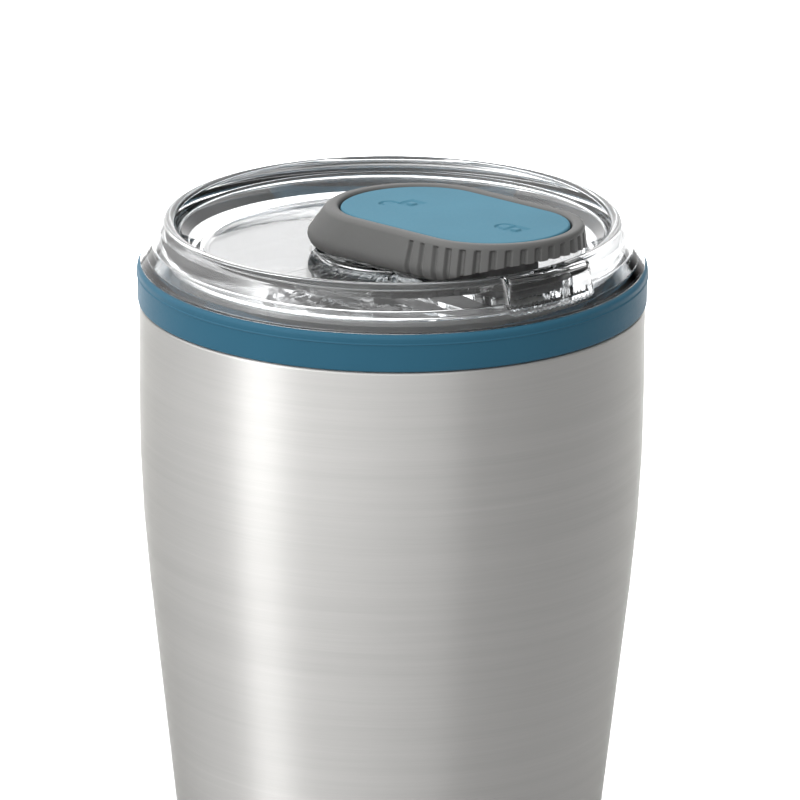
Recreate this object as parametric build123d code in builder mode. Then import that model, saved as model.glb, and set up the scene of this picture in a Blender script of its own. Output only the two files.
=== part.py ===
from build123d import *
import math
import os

# Insulated steel tumbler with a clear sipping lid.  Millimetres, +Z up, origin at the centre of the
# foot on the surface it stands on.  The drinking side faces -Y, so the slider opens towards +Y.
# Three groups move: the vessel stands still, the lid pulls straight up out of it, and the slider
# runs in a sunken track in the lid.

os.makedirs("parts", exist_ok=True)

# ---------------------------------------------------------------- driving dimensions: vessel
RIM_Z = 152.0              # top of the visible steel, where the lid's soft band starts
BODY_R = 44.17             # straight upper wall of the vessel
TAPER_DEG = 6.5            # half angle of the tapered lower wall
TAPER_DROP = 33.0          # corner between straight and tapered wall, below the rim
TAPER_BLEND = 317.0        # large radius that blends straight wall into taper
SHELL_T = 0.6              # outer wall thickness
LINER_T = 0.5              # inner wall thickness
VACUUM_GAP = 2.4           # between the two walls
LIP_R = 42.9               # outside of the drinking lip, under the band
LIP_H = 2.9                # lip above the shoulder
FOOT_CORNER = 4.0          # radius between wall and foot ring
FOOT_INNER_R = 24.0        # inside of the foot ring
SHOULDER_GAP = 0.15        # shoulder below the soft band
SHOULDER_CORNER = 0.5
HEM_T = 0.6                # hem of the inner cup over the lip
LINER_FLOOR_Z = 13.0       # inside floor of the cup
BOTTOM_Z = 6.5             # vacuum closure
DIMPLE_R = 6.0             # dimple around the pump-out hole
DIMPLE_H = 1.6
PUMP_HOLE_R = 1.0
BEAD_R = 2.4               # sealing glass under the hole
BEAD_H = 1.2
GETTER_X = 15.0            # pill that keeps the vacuum clean
GETTER_R = 4.0
GETTER_T = 1.8
CLIP_T = 0.3
CLIP_W = 3.0
CLIP_HALF_L = 8.0
CLIP_GAP = 0.1
FOOT_RETURN_H = 3.2        # inner edge of the foot ring
CAP_Z = 2.0                # base cap above the table
CAP_RIB_H = 0.8
CAP_RIB_IN_R = 14.0
CAP_RIB_OUT_R = 20.0

# ---------------------------------------------------------------- driving dimensions: lid
BAND_R = 44.7              # widest radius of the soft band
BAND_H = 6.7               # height of the soft band
PLUG_R = 39.5              # outside of the clear plug that enters the vessel
PLUG_T = 1.5               # its wall
PLUG_DEPTH = 6.0           # plug below the rim
SEAT_R = 43.0              # shoulder the soft band sits on
SEAT_H = 4.4
LEDGE_R = 44.0             # thin clear ledge over the band
LEDGE_H = 0.25
CREST_H = 14.5             # crest above the rim
# outer wall, crest and well slope: radius, height above the rim, corner radius
CREST_PROFILE = (
    (41.92, 10.06, 0.6),
    (40.72, 12.8, 2.0),
    (39.6, 14.7, 1.0),
    (38.2, 14.3, 1.2),
    (37.1, 12.1, 1.5),
)
FLOOR_R = 32.75            # foot of the sloped wall of the well
FLOOR_H = 9.3              # well floor above the rim
FLOOR_T = 1.8
# narrow pocket between the plug and the outer wall: radius, height above the rim, corner radius
POCKET_PROFILE = (
    (39.5, 10.6, 0.4),
    (40.35, 9.2, 0.5),
    (41.45, 7.1, 0.6),
    (41.45, 4.4, 0),
)
HUB_R = 14.6               # low round hub in the middle of the well
HUB_TOP_R = 13.3
HUB_H = 10.1
SKIRT_T = 1.3              # round skirt under the hub
SKIRT_LOW_R = 13.9
SKIRT_LOW_H = 3.6
PLUG_FOOT_W = 0.6          # bead that stops the soft ring sliding off the plug
PLUG_FOOT_H = 0.8

SPOUT_HALF_W = 9.3         # half width of the spout block in the rim
SPOUT_TOP_R = 41.7
SPOUT_LOW_R = 42.8
SPOUT_IN_R = 38.9
SPOUT_FOOT_H = 8.6

# ---------------------------------------------------------------- driving dimensions: soft ring
BAND_SPLIT_H = 5.0         # fine raised line where the two halves of the mould meet
BAND_LINE = 0.08
BAND_DRAFT = 0.25
BAND_IN_R = 43.25          # inside of the skirt, clear of the lip
WEB_H = 3.2                # web over the lip
SLEEVE_T = 0.45
SEAL_LIP_W = 0.4
SEAL_LIP_DROPS = (4.2, 1.5)

# ---------------------------------------------------------------- driving dimensions: slider
# The slider and its track are square to a plane that rises gently towards the drinking side.
# Positions u run along it towards the drinking side, and depths h go down from the slider's top.
SLIDE_TILT_DEG = 3.0
SLIDER_TOP_H = 18.25       # slider top above the rim, on the tumbler's axis
SLIDER_H = 7.3
OPENING_U = 16.25          # centre of the oval opening that holds the soft pad
OPENING_STRAIGHT = 10.15   # half length of its straight sides
OPENING_HALF_W = 12.9
OPENING_END = 14.2         # half length of each rounded end
LIP_W = 2.2                # width of the grip's top lip
GRIP_HALF_W = 16.0         # half width at the foot of the grip
GRIP_REAR_U = 2.3          # centre of the rounded rear end at the foot
GRIP_REAR_END = 17.0
GRIP_FRONT_END = 16.2
GRIP_FOOT_CORNER = 1.0     # rounded outer edge of the foot
PAD_T = 2.0
PAD_RECESS = 0.2
PAD_END_GAP = 0.6          # the pad is a little shorter than its opening
MARK_X = 0.4               # padlock marks sunk into the pad
MARK_DEPTH = 0.3
MARK_W = 3.6
MARK_L = 4.0
MARK_LINE = 0.5
SHACKLE_R = 1.7
SHACKLE_L = 3.3            # shackle ring behind the middle of the lock
OPEN_MARK_U = 4.5
OPEN_SHACKLE_X = -2.8
CLOSED_MARK_U = 31.6
RIB_STEP_DEG = 9.8         # grip grooves around the nose, with a rib at its tip
RIB_COUNT_NOSE = 9         # grooves on each side of the tip
RIB_PITCH_SIDE = 3.3       # two more grooves on each straight side
RIB_COUNT_SIDE = 2
RIB_START_SIDE = 1.6
RIB_W = 0.9
RIB_DEPTH = 0.55
RIB_LIP = 1.0              # plain lip above the grooves
RIB_CUT_L = 3.0
LIP_EDGE_R = 0.9           # rounded lip
PAD_EDGE_R = 0.35
UNDERCUT_REACH = 60.0      # across the whole nose
NOSE_FOOT = ((27.0, 12.2), (39.5, 16.4), (43.5, 17.2))  # raised foot of the nose: u, height above rim

TRACK_HALF_W = 7.5         # sunken track under the lid floor
TRACK_LIP_HALF_W = 6.2     # slot in the floor; its edges hold the slider down
TRACK_FLOOR_H = 12.0       # depth of the track floor below the slider's top
TRACK_FLOOR_T = 1.6
TRACK_LIP_H = 10.3         # underside of the slot's edges
SLOT_TOP_H = 6.0           # the slot is cut up to here, above the floor
TRACK_REAR_U = -11.5
SLOT_REAR_U = -11.6
TRACK_STOP_U = 13.0        # front end of the space for the tongues
TRACK_FRONT_U = 33.5
TRACK_CORNER = 2.5
TRAY_WALL = 1.3
TRAY_CORNER = 4.5
TRAY_TOP_H = 9.8           # inside the thickness of the lid's floor
PORT_U = 27.3              # sipping port
PORT_HALF_L = 2.8
PORT_HALF_W = 4.2
PORT_CORNER = 2.0
VENT_U = 4.5
VENT_R = 1.2
CUT_PAST = 1.0             # how far a cutting shape goes beyond the wall it opens
RUN_GAP = 0.3              # running gap between slider and lid
CARRIAGE_FOOT_H = 6.8      # plate under the pad
KEEL_FOOT_H = 11.6         # keel that runs in the track
KEEL_REAR_U = 1.3
KEEL_FRONT_U = 32.5
KEEL_CORNER = 2.3
TONGUE_REAR_U = 1.5        # tongues under the edges of the slot
TONGUE_FRONT_U = 12.0
TONGUE_CORNER = 1.5
SEAL_TOP_H = 9.4
SEAL_FOOT_H = 11.9
SEAL_HALF_W = 5.2
SEAL_HALF_L = 4.6
VENT_SEAL_R = 2.2
SEAL_EDGE_R = 0.25

TAPER = math.tan(math.radians(TAPER_DEG))
CORNER_Z = RIM_Z - TAPER_DROP
SLIDE = Plane(
    origin=(0, 0, RIM_Z + SLIDER_TOP_H),
    x_dir=(1, 0, 0),
    z_dir=(0, math.sin(math.radians(SLIDE_TILT_DEG)), math.cos(math.radians(SLIDE_TILT_DEG))),
)


def wall_r(z, inset=0.0):
    """Radius of the tapered outer wall at height z, moved inwards by inset."""
    return BODY_R - inset / math.cos(math.radians(TAPER_DEG)) - (CORNER_Z - z) * TAPER


def section(points):
    """Closed section in the XZ plane from (radius, height, corner radius) points."""
    with BuildSketch(Plane.XZ, mode=Mode.PRIVATE) as outline:
        with BuildLine():
            FilletPolyline(
                *[(r, z) for r, z, _ in points],
                radius=[corner for _, _, corner in points],
                close=True,
            )
        make_face()
    return outline.sketch


def oval(plane, half_w, rear_u, rear_end, front_u, front_end):
    """Oval on a plane of the slider: straight sides with an elliptical end at the rear and front."""
    with BuildSketch(plane, mode=Mode.PRIVATE) as outline:
        with BuildLine():
            Line((half_w, -front_u), (half_w, -rear_u))
            EllipticalCenterArc((0, -rear_u), half_w, rear_end, start_angle=0, arc_size=180)
            Line((-half_w, -rear_u), (-half_w, -front_u))
            EllipticalCenterArc((0, -front_u), half_w, front_end, start_angle=180, arc_size=180)
        make_face()
    return outline.sketch


def opening_oval(depth, end_gap=0.0):
    """The pad's oval at a depth below the slider's top, with a gap left at its ends."""
    return oval(
        SLIDE.offset(-depth),
        OPENING_HALF_W,
        OPENING_U - OPENING_STRAIGHT,
        OPENING_END - end_gap,
        OPENING_U + OPENING_STRAIGHT,
        OPENING_END - end_gap,
    )


def grip_top(inset=0.0):
    """Outline of the grip at its top."""
    return oval(
        SLIDE,
        OPENING_HALF_W + LIP_W - inset,
        OPENING_U - OPENING_STRAIGHT,
        OPENING_END + LIP_W - inset,
        OPENING_U + OPENING_STRAIGHT,
        OPENING_END + LIP_W - inset,
    )


def grip_foot(inset=0.0):
    """Outline of the grip at its foot, longer at the rear."""
    return oval(
        SLIDE.offset(-SLIDER_H),
        GRIP_HALF_W - inset,
        GRIP_REAR_U,
        GRIP_REAR_END - inset,
        OPENING_U + OPENING_STRAIGHT,
        GRIP_FRONT_END - inset,
    )


def front_undercut(clearance):
    """Side section below the slider's raised nose, which keeps it clear of the lid's rim."""
    with BuildSketch(Plane.YZ, mode=Mode.PRIVATE) as outline:
        with BuildLine():
            Polyline(
                *[(-u, RIM_Z + height + clearance) for u, height in NOSE_FOOT],
                (-48.0, RIM_Z + NOSE_FOOT[-1][1] + clearance),
                (-48.0, RIM_Z),
                (-NOSE_FOOT[0][0], RIM_Z),
                close=True,
            )
        make_face()
    return outline.sketch


# ================================================================ vessel
liner_out = SHELL_T + VACUUM_GAP
liner_in = liner_out + LINER_T
shoulder_z = RIM_Z - SHOULDER_GAP
lip_z = RIM_Z + LIP_H
hem_z = lip_z - HEM_T

# Outer wall: one drawn skin from the foot ring, up the taper, over the shoulder to the lip.
with BuildPart() as outer_shell:
    revolve(
        section([
            (FOOT_INNER_R, 0, 0.3),
            (wall_r(0), 0, FOOT_CORNER),
            (BODY_R, CORNER_Z, TAPER_BLEND),
            (BODY_R, shoulder_z, SHOULDER_CORNER),
            (LIP_R, shoulder_z, 0.2),
            (LIP_R, hem_z, 0),
            (LIP_R - SHELL_T, hem_z, 0),
            (LIP_R - SHELL_T, shoulder_z - SHELL_T, 0.5),
            (BODY_R - SHELL_T, shoulder_z - SHELL_T, 0.3),
            (BODY_R - SHELL_T, CORNER_Z, TAPER_BLEND - SHELL_T),
            (wall_r(0, SHELL_T) + SHELL_T * TAPER, SHELL_T, FOOT_CORNER - SHELL_T),
            (FOOT_INNER_R + SHELL_T, SHELL_T, 0.3),
            (FOOT_INNER_R + SHELL_T, FOOT_RETURN_H, 0),
            (FOOT_INNER_R, FOOT_RETURN_H, 0),
        ]),
        axis=Axis.Z,
    )
outer_shell.part.label = "outer_shell"
export_step(outer_shell.part, "parts/outer_shell.step")

# Inner cup: follows the outer wall at the vacuum gap, with a hem that caps the lip.
mouth_r = LIP_R - SHELL_T - LINER_T
with BuildPart() as inner_liner:
    revolve(
        section([
            (0, LINER_FLOOR_Z - LINER_T, 0),
            (wall_r(LINER_FLOOR_Z, liner_out), LINER_FLOOR_Z - LINER_T, 8.5),
            (BODY_R - liner_out, CORNER_Z, TAPER_BLEND - liner_out),
            (BODY_R - liner_out, RIM_Z - 4.0, 1.0),
            (mouth_r + LINER_T, RIM_Z - 1.6, 1.0),
            (mouth_r + LINER_T, hem_z, 0),
            (LIP_R, hem_z, 0),
            (LIP_R, lip_z, 0.35),
            (mouth_r, lip_z, 0.35),
            (mouth_r, RIM_Z - 1.4, 1.0),
            (BODY_R - liner_in, RIM_Z - 3.8, 1.0),
            (BODY_R - liner_in, CORNER_Z, TAPER_BLEND - liner_in),
            (wall_r(LINER_FLOOR_Z, liner_in), LINER_FLOOR_Z, 8.0),
            (0, LINER_FLOOR_Z, 0),
        ]),
        axis=Axis.Z,
    )
inner_liner.part.label = "inner_liner"
export_step(inner_liner.part, "parts/inner_liner.step")

# Vacuum closure: a pressed dish welded inside the outer wall, with a dimple and a pump-out hole.
dish_r = wall_r(BOTTOM_Z, SHELL_T + 0.05)
with BuildPart() as outer_bottom:
    revolve(
        section([
            (PUMP_HOLE_R, BOTTOM_Z + DIMPLE_H, 0),
            (DIMPLE_R - 2.0, BOTTOM_Z + DIMPLE_H, 1.5),
            (DIMPLE_R, BOTTOM_Z, 1.5),
            (dish_r, BOTTOM_Z, 0),
            (dish_r + SHELL_T * TAPER, BOTTOM_Z + SHELL_T, 0),
            (DIMPLE_R + 0.2, BOTTOM_Z + SHELL_T, 1.0),
            (DIMPLE_R - 1.8, BOTTOM_Z + DIMPLE_H + SHELL_T, 1.5),
            (PUMP_HOLE_R, BOTTOM_Z + DIMPLE_H + SHELL_T, 0),
        ]),
        axis=Axis.Z,
    )
outer_bottom.part.label = "outer_bottom"
export_step(outer_bottom.part, "parts/outer_bottom.step")

# Bead of sealing glass that closes the pump-out hole from below.
with BuildPart() as vacuum_seal_bead:
    revolve(
        section([
            (0, BOTTOM_Z + DIMPLE_H - BEAD_H, 0),
            (BEAD_R - 0.8, BOTTOM_Z + DIMPLE_H - BEAD_H, 0.6),
            (BEAD_R, BOTTOM_Z + DIMPLE_H, 0),
            (0, BOTTOM_Z + DIMPLE_H, 0),
        ]),
        axis=Axis.Z,
    )
vacuum_seal_bead.part.label = "vacuum_seal_bead"
export_step(vacuum_seal_bead.part, "parts/vacuum_seal_bead.step")

# Getter: a small round pill that keeps the vacuum clean, held by a bent metal clip on the dish.
getter_z = BOTTOM_Z + SHELL_T
getter_top_z = getter_z + GETTER_T
with BuildPart() as getter:
    with BuildSketch(Plane.XY.offset(getter_z)):
        with Locations((GETTER_X, 0)):
            Circle(GETTER_R)
    extrude(amount=GETTER_T)
    fillet(getter.edges().group_by(Axis.Z)[-1], 0.4)
getter.part.label = "getter"
export_step(getter.part, "parts/getter.step")

clip_half_w = GETTER_R + CLIP_GAP
with BuildPart() as getter_clip:
    with BuildSketch(Plane.XZ.offset(-CLIP_W / 2)):
        with BuildLine():
            Polyline(
                (GETTER_X - CLIP_HALF_L, getter_z),
                (GETTER_X - clip_half_w, getter_z),
                (GETTER_X - clip_half_w, getter_top_z),
                (GETTER_X + clip_half_w, getter_top_z),
                (GETTER_X + clip_half_w, getter_z),
                (GETTER_X + CLIP_HALF_L, getter_z),
                (GETTER_X + CLIP_HALF_L, getter_z + CLIP_T),
                (GETTER_X + clip_half_w + CLIP_T, getter_z + CLIP_T),
                (GETTER_X + clip_half_w + CLIP_T, getter_top_z + CLIP_T),
                (GETTER_X - clip_half_w - CLIP_T, getter_top_z + CLIP_T),
                (GETTER_X - clip_half_w - CLIP_T, getter_z + CLIP_T),
                (GETTER_X - CLIP_HALF_L, getter_z + CLIP_T),
                close=True,
            )
        make_face()
    extrude(amount=CLIP_W)
getter_clip.part.label = "getter_clip"
export_step(getter_clip.part, "parts/getter_clip.step")

# Base cap: a pressed disc set inside the foot ring, with one raised ring for stiffness.
with BuildPart() as base_cap:
    revolve(
        section([
            (0, CAP_Z, 0),
            (CAP_RIB_IN_R, CAP_Z, 0.8),
            (CAP_RIB_IN_R + 1.5, CAP_Z + CAP_RIB_H, 0.8),
            (CAP_RIB_OUT_R - 1.5, CAP_Z + CAP_RIB_H, 0.8),
            (CAP_RIB_OUT_R, CAP_Z, 0.8),
            (FOOT_INNER_R, CAP_Z, 0),
            (FOOT_INNER_R, CAP_Z + SHELL_T, 0),
            (CAP_RIB_OUT_R + 0.3, CAP_Z + SHELL_T, 0.8),
            (CAP_RIB_OUT_R - 1.2, CAP_Z + CAP_RIB_H + SHELL_T, 0.8),
            (CAP_RIB_IN_R + 1.2, CAP_Z + CAP_RIB_H + SHELL_T, 0.8),
            (CAP_RIB_IN_R - 0.3, CAP_Z + SHELL_T, 0.8),
            (0, CAP_Z + SHELL_T, 0),
        ]),
        axis=Axis.Z,
    )
base_cap.part.label = "base_cap"
export_step(base_cap.part, "parts/base_cap.step")

# ================================================================ lid
def track_rect(depth, half_w, rear_u, front_u, corner):
    """Rounded rectangle across the track between two positions, at a depth below the slider's top."""
    with BuildSketch(SLIDE.offset(-depth), mode=Mode.PRIVATE) as outline:
        with Locations((0, -(rear_u + front_u) / 2)):
            RectangleRounded(2 * half_w, front_u - rear_u, corner)
    return outline.sketch


# Clear lid: plug, seat for the soft ring, sloped outer wall, crest, well, spout block and track.
plug_foot_z = RIM_Z - PLUG_DEPTH + PLUG_FOOT_H
with BuildPart() as lid_shell:
    revolve(
        section([
            (PLUG_R - PLUG_T, RIM_Z - PLUG_DEPTH, 0.3),
            (PLUG_R + PLUG_FOOT_W, RIM_Z - PLUG_DEPTH, 0.3),
            (PLUG_R + PLUG_FOOT_W, plug_foot_z, 0),
            (PLUG_R, plug_foot_z, 0),
            *[(r, RIM_Z + height, corner) for r, height, corner in POCKET_PROFILE],
            (SEAT_R, RIM_Z + SEAT_H, 0),
            (SEAT_R, RIM_Z + BAND_H, 0),
            (LEDGE_R, RIM_Z + BAND_H, 0.15),
            (LEDGE_R, RIM_Z + BAND_H + LEDGE_H, 0.15),
            *[(r, RIM_Z + height, corner) for r, height, corner in CREST_PROFILE],
            (FLOOR_R, RIM_Z + FLOOR_H, 3.0),
            (0, RIM_Z + FLOOR_H, 0),
            (0, RIM_Z + FLOOR_H - FLOOR_T, 0),
            (PLUG_R - PLUG_T, RIM_Z + FLOOR_H - FLOOR_T, 1.0),
        ]),
        axis=Axis.Z,
    )
    # spout block: a short stretch of rim with a steep face
    spout = section([
        (SPOUT_IN_R, RIM_Z + SPOUT_FOOT_H, 0),
        (SPOUT_LOW_R, RIM_Z + SPOUT_FOOT_H, 0),
        (SPOUT_TOP_R, RIM_Z + CREST_H, 1.0),
        (SPOUT_IN_R, RIM_Z + CREST_H, 0),
    ])
    spout_half_deg = math.degrees(math.asin(SPOUT_HALF_W / SPOUT_TOP_R))
    revolve(spout.rotate(Axis.Z, -90 - spout_half_deg), axis=Axis.Z, revolution_arc=2 * spout_half_deg)
    # round hub in the well, with a skirt under it and a tray that reaches forward to the port
    revolve(
        section([
            (0, RIM_Z + FLOOR_H - 1.0, 0),
            (HUB_R, RIM_Z + FLOOR_H - 1.0, 0),
            (HUB_R, RIM_Z + FLOOR_H - 0.2, 0),
            (HUB_TOP_R, RIM_Z + HUB_H, 0.4),
            (0, RIM_Z + HUB_H, 0),
        ]),
        axis=Axis.Z,
    )
    revolve(
        section([
            (SKIRT_LOW_R - SKIRT_T, RIM_Z + SKIRT_LOW_H, 0.3),
            (SKIRT_LOW_R, RIM_Z + SKIRT_LOW_H, 0.3),
            (HUB_R, RIM_Z + FLOOR_H - 1.0, 0),
            (HUB_R - SKIRT_T, RIM_Z + FLOOR_H - 1.0, 0),
        ]),
        axis=Axis.Z,
    )
    extrude(
        track_rect(
            TRACK_FLOOR_H + TRACK_FLOOR_T,
            TRACK_HALF_W + TRAY_WALL,
            TRACK_REAR_U - TRAY_WALL,
            TRACK_FRONT_U + TRAY_WALL,
            TRAY_CORNER,
        ),
        amount=TRACK_FLOOR_T + TRACK_FLOOR_H - TRAY_TOP_H,
    )
    extrude(
        track_rect(TRACK_FLOOR_H, TRACK_HALF_W, TRACK_REAR_U, TRACK_STOP_U, TRACK_CORNER),
        amount=TRACK_FLOOR_H - TRACK_LIP_H,
        mode=Mode.SUBTRACT,
    )
    extrude(
        track_rect(TRACK_FLOOR_H, TRACK_LIP_HALF_W, SLOT_REAR_U, TRACK_FRONT_U, TRACK_CORNER),
        amount=TRACK_FLOOR_H - SLOT_TOP_H,
        mode=Mode.SUBTRACT,
    )
    # sipping port and vent through the track floor
    with BuildSketch(SLIDE.offset(-TRACK_FLOOR_H - TRACK_FLOOR_T - CUT_PAST)):
        with Locations((0, -PORT_U)):
            RectangleRounded(2 * PORT_HALF_W, 2 * PORT_HALF_L, PORT_CORNER)
        with Locations((0, -VENT_U)):
            Circle(VENT_R)
    extrude(amount=TRACK_FLOOR_T + 2 * CUT_PAST, mode=Mode.SUBTRACT)
lid_shell.part.label = "lid_shell"
export_step(lid_shell.part, "parts/lid_shell.step")

# Soft ring: the band seen outside, a web over the vessel's lip, and a sleeve with two sealing lips.
sleeve_r = PLUG_R + SLEEVE_T
with BuildPart() as lid_gasket:
    revolve(
        section([
            (BAND_IN_R, RIM_Z, 0),
            (BAND_R - BAND_DRAFT, RIM_Z, 0.4),
            (BAND_R - BAND_LINE, RIM_Z + BAND_SPLIT_H - BAND_LINE, 0),
            (BAND_R, RIM_Z + BAND_SPLIT_H, 0),
            (BAND_R - BAND_LINE, RIM_Z + BAND_SPLIT_H + BAND_LINE, 0),
            (BAND_R - BAND_LINE, RIM_Z + BAND_H, 0.7),
            (SEAT_R, RIM_Z + BAND_H, 0),
            (SEAT_R, RIM_Z + SEAT_H, 0),
            (PLUG_R, RIM_Z + SEAT_H, 0),
            (PLUG_R, plug_foot_z, 0),
            (sleeve_r, plug_foot_z, 0),
            *[
                (sleeve_r + out, RIM_Z - drop + rise, corner)
                for drop in SEAL_LIP_DROPS
                for out, rise, corner in ((0, -0.4, 0), (SEAL_LIP_W, 0, 0.1), (0, 0.6, 0))
            ],
            (sleeve_r, RIM_Z + WEB_H, 0.4),
            (BAND_IN_R, RIM_Z + WEB_H, 0.3),
        ]),
        axis=Axis.Z,
    )
lid_gasket.part.label = "lid_gasket"
export_step(lid_gasket.part, "parts/lid_gasket.step")


# ================================================================ slider
def rib_places():
    """Places and headings (x, u, degrees) of the grip grooves around the nose and along both sides."""
    front_u = OPENING_U + OPENING_STRAIGHT
    places = []
    for side in (-1, 1):
        for k in range(RIB_COUNT_NOSE):
            heading = side * (k + 0.5) * RIB_STEP_DEG
            turn = math.radians(heading)
            places.append((GRIP_HALF_W * math.sin(turn), front_u + GRIP_FRONT_END * math.cos(turn), heading))
        for k in range(RIB_COUNT_SIDE):
            places.append((side * GRIP_HALF_W, front_u - RIB_START_SIDE - k * RIB_PITCH_SIDE, side * 90))
    return places


# Grip: a hollow oval with flared walls, raised at the nose, grooved around its front half.
with BuildPart() as slider_shell:
    loft(sections=[grip_foot(), grip_top()], ruled=True)
    fillet(slider_shell.faces().sort_by(Axis.Z)[-1].edges(), LIP_EDGE_R)
    fillet(slider_shell.faces().sort_by(Axis.Z)[0].edges(), GRIP_FOOT_CORNER)
    for x, u, heading in rib_places():
        with BuildSketch(SLIDE.offset(-SLIDER_H - CUT_PAST)):
            with Locations(Location((x, -u), heading)):
                Rectangle(RIB_W, RIB_CUT_L)
        extrude(amount=SLIDER_H + CUT_PAST - RIB_LIP, mode=Mode.SUBTRACT)
    loft(sections=[grip_foot(RIB_DEPTH), grip_top(RIB_DEPTH + LIP_EDGE_R)], ruled=True)
    extrude(opening_oval(SLIDER_H + CUT_PAST), amount=SLIDER_H + 2 * CUT_PAST, mode=Mode.SUBTRACT)
    extrude(front_undercut(0), amount=UNDERCUT_REACH, both=True, mode=Mode.SUBTRACT)
slider_shell.part.label = "slider_shell"
export_step(slider_shell.part, "parts/slider_shell.step")


def padlock(u, shackle_shift):
    """Small padlock mark: a square frame with a keyhole, and a ring that is closed or swung aside."""
    with BuildSketch(SLIDE.offset(-PAD_RECESS), mode=Mode.PRIVATE) as mark:
        with Locations((MARK_X, -u)):
            Rectangle(MARK_W, MARK_L)
            Rectangle(MARK_W - 2 * MARK_LINE, MARK_L - 2 * MARK_LINE, mode=Mode.SUBTRACT)
            Circle(MARK_LINE)
        with Locations((MARK_X + shackle_shift, -u + SHACKLE_L)):
            Circle(SHACKLE_R)
            Circle(SHACKLE_R - MARK_LINE, mode=Mode.SUBTRACT)
    return mark.sketch


# Soft pad pressed into the grip, with an open padlock at its rear and a closed one at its front.
with BuildPart() as slider_insert:
    extrude(opening_oval(PAD_T + PAD_RECESS, PAD_END_GAP), amount=PAD_T)
    fillet(slider_insert.faces().sort_by(Axis.Z)[-1].edges(), PAD_EDGE_R)
    extrude(padlock(OPEN_MARK_U, OPEN_SHACKLE_X), amount=-MARK_DEPTH, mode=Mode.SUBTRACT)
    extrude(padlock(CLOSED_MARK_U, 0.0), amount=-MARK_DEPTH, mode=Mode.SUBTRACT)
slider_insert.part.label = "slider_insert"
export_step(slider_insert.part, "parts/slider_insert.step")

# Carriage: the plate under the pad, with a keel that runs in the track and carries both seals.
carriage_top_h = PAD_T + PAD_RECESS
keel_half_w = TRACK_LIP_HALF_W - RUN_GAP
tongue_half_w = TRACK_HALF_W - RUN_GAP
tongue_top_h = TRACK_LIP_H + RUN_GAP


def sip_seal_outline(depth):
    """Rounded rectangle over the sipping port."""
    return track_rect(depth, SEAL_HALF_W, PORT_U - SEAL_HALF_L, PORT_U + SEAL_HALF_L, TRACK_CORNER)


def vent_seal_outline(depth):
    """Disc over the vent."""
    with BuildSketch(SLIDE.offset(-depth), mode=Mode.PRIVATE) as outline:
        with Locations((0, -VENT_U)):
            Circle(VENT_SEAL_R)
    return outline.sketch


with BuildPart() as slider_carriage:
    extrude(opening_oval(CARRIAGE_FOOT_H), amount=CARRIAGE_FOOT_H - carriage_top_h)
    extrude(front_undercut(0.4), amount=UNDERCUT_REACH, both=True, mode=Mode.SUBTRACT)
    extrude(
        track_rect(KEEL_FOOT_H, keel_half_w, KEEL_REAR_U, KEEL_FRONT_U, KEEL_CORNER),
        amount=KEEL_FOOT_H - CARRIAGE_FOOT_H + 2.0,
    )
    extrude(
        track_rect(KEEL_FOOT_H, tongue_half_w, TONGUE_REAR_U, TONGUE_FRONT_U, TONGUE_CORNER),
        amount=KEEL_FOOT_H - tongue_top_h,
    )
    for outline in (sip_seal_outline(KEEL_FOOT_H), vent_seal_outline(KEEL_FOOT_H)):
        extrude(outline, amount=KEEL_FOOT_H - SEAL_TOP_H, mode=Mode.SUBTRACT)
slider_carriage.part.label = "slider_carriage"
export_step(slider_carriage.part, "parts/slider_carriage.step")

# Seals: soft pads set into the keel, one over the sipping port and one over the vent.
with BuildPart() as sip_seal:
    extrude(sip_seal_outline(SEAL_FOOT_H), amount=SEAL_FOOT_H - SEAL_TOP_H)
    fillet(sip_seal.faces().sort_by(Axis.Z)[0].edges(), SEAL_EDGE_R)
sip_seal.part.label = "sip_seal"
export_step(sip_seal.part, "parts/sip_seal.step")

with BuildPart() as vent_seal:
    extrude(vent_seal_outline(SEAL_FOOT_H), amount=SEAL_FOOT_H - SEAL_TOP_H)
    fillet(vent_seal.faces().sort_by(Axis.Z)[0].edges(), SEAL_EDGE_R)
vent_seal.part.label = "vent_seal"
export_step(vent_seal.part, "parts/vent_seal.step")
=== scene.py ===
import math

import bmesh
import bpy
from mathutils import Matrix, Vector


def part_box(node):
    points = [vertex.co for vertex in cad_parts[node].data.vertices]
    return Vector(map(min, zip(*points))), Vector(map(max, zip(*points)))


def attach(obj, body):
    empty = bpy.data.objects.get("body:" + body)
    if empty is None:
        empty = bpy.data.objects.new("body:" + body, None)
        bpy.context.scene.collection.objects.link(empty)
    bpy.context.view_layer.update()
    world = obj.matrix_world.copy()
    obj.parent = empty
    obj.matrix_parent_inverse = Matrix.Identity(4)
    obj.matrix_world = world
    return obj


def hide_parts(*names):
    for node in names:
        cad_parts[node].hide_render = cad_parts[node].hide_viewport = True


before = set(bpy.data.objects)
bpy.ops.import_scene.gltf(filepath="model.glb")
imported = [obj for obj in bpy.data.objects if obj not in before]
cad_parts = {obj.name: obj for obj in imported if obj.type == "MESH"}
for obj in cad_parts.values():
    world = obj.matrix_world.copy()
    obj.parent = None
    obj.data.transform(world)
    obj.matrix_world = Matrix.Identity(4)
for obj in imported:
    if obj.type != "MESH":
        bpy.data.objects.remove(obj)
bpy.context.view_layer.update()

# Shapes are worked out in millimetres, with heights from the table, and meshes are made in metres.
# The rim is the top of the visible steel; the outer wall goes on above it, inside the soft band.
MM = 0.001
STEEL_ABOVE_RIM = 2.3
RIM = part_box("outer_shell")[1].z / MM - STEEL_ABOVE_RIM
BODY_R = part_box("outer_shell")[1].x / MM
BAND_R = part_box("lid_gasket")[1].x / MM

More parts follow.
